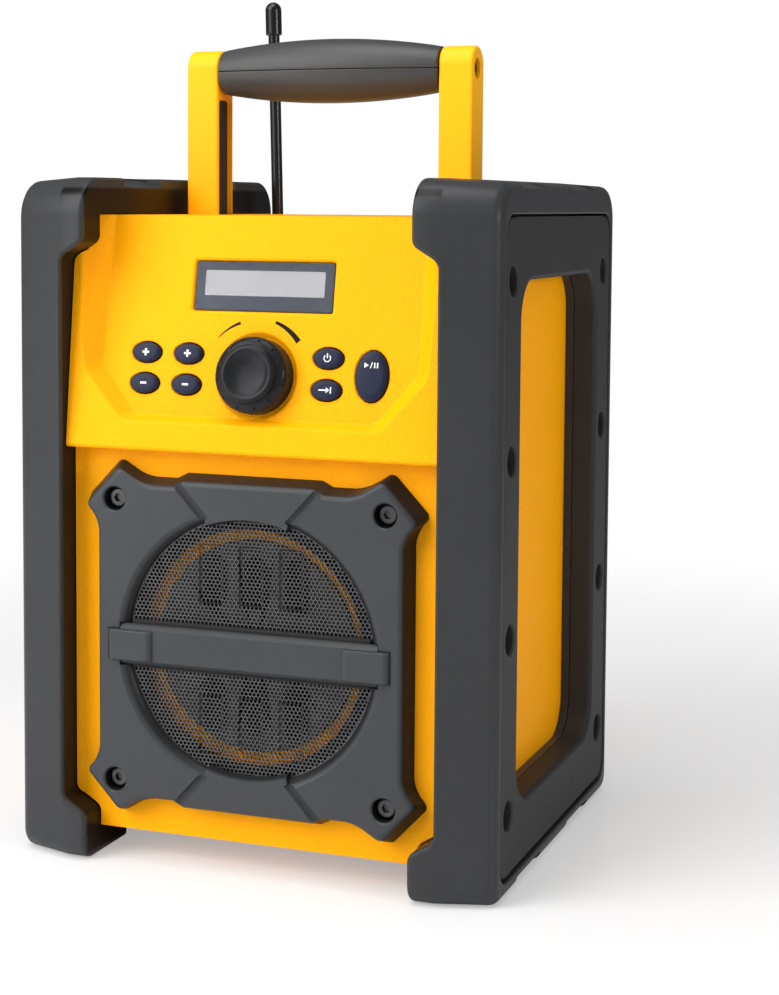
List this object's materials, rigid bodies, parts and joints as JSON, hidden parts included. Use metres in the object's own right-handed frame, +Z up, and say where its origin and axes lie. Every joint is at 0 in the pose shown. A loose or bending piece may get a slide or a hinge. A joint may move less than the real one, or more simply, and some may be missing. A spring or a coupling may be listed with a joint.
{
  "type": "portable radio",
  "caption": "Rugged portable radio: yellow housing between black bumper frames, round speaker, leaning control panel with display and knob, carrying handle and whip antenna.",
  "frame": {"origin": "on the floor, under the middle of the bumpers", "axes": "+X to the right seen from the front, +Y to the rear, +Z up; the speaker faces -Y"},
  "size_m": [0.178, 0.163, 0.314],
  "materials": {
    "yellow_plastic": "fine moulded grain",
    "black_plastic": "satin",
    "key_rubber": "satin with printed symbols",
    "clear_plastic": "clear, dark border",
    "steel": "bare",
    "black_steel": "black",
    "paper_cone": "pressed paper",
    "circuit_board": "solder mask",
    "cell_wrap": "printed sleeve",
    "grey_display": "liquid crystal"
  },
  "bodies": {
    "radio": {"front_housing": "yellow_plastic", "rear_housing": "yellow_plastic", "left_handle_arm": "yellow_plastic", "right_handle_arm": "yellow_plastic", "left_bumper": "black_plastic", "right_bumper": "black_plastic", "left_side_plate": "black_plastic", "right_side_plate": "black_plastic", "speaker_frame": "black_plastic", "grille_crossbar": "black_plastic", "speaker_louvre": "black_plastic", "grip_upper_half": "black_plastic", "grip_lower_half": "black_plastic", "left_side_screw_1": "black_steel", "left_side_screw_2": "black_steel", "left_side_screw_3": "black_steel", "left_side_screw_4": "black_steel", "left_side_screw_5": "black_steel", "left_side_screw_6": "black_steel", "left_side_screw_7": "black_steel", "left_side_screw_8": "black_steel", "right_side_screw_1": "black_steel", "right_side_screw_2": "black_steel", "right_side_screw_3": "black_steel", "right_side_screw_4": "black_steel", "right_side_screw_5": "black_steel", "right_side_screw_6": "black_steel", "right_side_screw_7": "black_steel", "right_side_screw_8": "black_steel", "frame_screw_1": "black_steel", "frame_screw_2": "black_steel", "frame_screw_3": "black_steel", "frame_screw_4": "black_steel", "handle_bolt": "black_steel", "antenna_pivot": "black_steel", "speaker_basket": "black_steel", "speaker_magnet": "black_steel", "speaker_grille": "steel", "speaker_surround": "paper_cone", "control_board": "circuit_board", "main_board": "circuit_board", "battery_cell_1": "cell_wrap", "battery_cell_2": "cell_wrap", "battery_cell_3": "cell_wrap", "battery_cell_4": "cell_wrap", "display_window": "clear_plastic", "display_module": "grey_display"},
    "knob": {"volume_knob": "black_plastic", "encoder_shaft": "steel"},
    "cone": {"speaker_cone": "paper_cone"},
    "antenna": {"antenna_rod": "black_plastic"},
    "door": {"battery_door": "yellow_plastic"},
    "coin_screw": {"door_screw": "steel"},
    "tune_up_key": {"tune_up_button": "key_rubber"},
    "tune_down_key": {"tune_down_button": "key_rubber"},
    "preset_up_key": {"preset_up_button": "key_rubber"},
    "preset_down_key": {"preset_down_button": "key_rubber"},
    "power_key": {"power_button": "key_rubber"},
    "source_key": {"source_button": "key_rubber"},
    "play_key": {"play_button": "key_rubber"}
  },
  "joints": [
    {"name": "knob_turn", "type": "hinge", "parent": "radio", "child": "knob", "pos_m": [0, -0.06877, 0.17253], "axis": [0, -0.9833, 0.1822], "continuous": true},
    {"name": "tune_up_press", "type": "slide", "parent": "radio", "child": "tune_up_key", "axis": [0, 0.9833, -0.1822], "range_m": [0, 0.001], "stiffness_N_per_m": 600},
    {"name": "tune_down_press", "type": "slide", "parent": "radio", "child": "tune_down_key", "axis": [0, 0.9833, -0.1822], "range_m": [0, 0.001], "stiffness_N_per_m": 600},
    {"name": "preset_up_press", "type": "slide", "parent": "radio", "child": "preset_up_key", "axis": [0, 0.9833, -0.1822], "range_m": [0, 0.001], "stiffness_N_per_m": 600},
    {"name": "preset_down_press", "type": "slide", "parent": "radio", "child": "preset_down_key", "axis": [0, 0.9833, -0.1822], "range_m": [0, 0.001], "stiffness_N_per_m": 600},
    {"name": "power_press", "type": "slide", "parent": "radio", "child": "power_key", "axis": [0, 0.9833, -0.1822], "range_m": [0, 0.001], "stiffness_N_per_m": 600},
    {"name": "source_press", "type": "slide", "parent": "radio", "child": "source_key", "axis": [0, 0.9833, -0.1822], "range_m": [0, 0.001], "stiffness_N_per_m": 600},
    {"name": "play_press", "type": "slide", "parent": "radio", "child": "play_key", "axis": [0, 0.9833, -0.1822], "range_m": [0, 0.001], "stiffness_N_per_m": 600},
    {"name": "cone_stroke", "type": "slide", "parent": "radio", "child": "cone", "axis": [0, -1, 0], "range_m": [-0.0008, 0.0008], "stiffness_N_per_m": 1500},
    {"name": "antenna_swing", "type": "hinge", "parent": "radio", "child": "antenna", "pos_m": [-0.0527, 0.0716, 0.214], "axis": [0, 1, 0], "range_deg": [-6, 91.5]},
    {"name": "door_swing", "type": "hinge", "parent": "radio", "child": "door", "pos_m": [0, 0.0665, 0.038], "axis": [-1, 0, 0], "range_deg": [0, 95]},
    {"name": "coin_screw_turn", "type": "hinge", "parent": "door", "child": "coin_screw", "pos_m": [0, 0.0665, 0.0977], "axis": [0, 1, 0], "continuous": true}
  ]
}
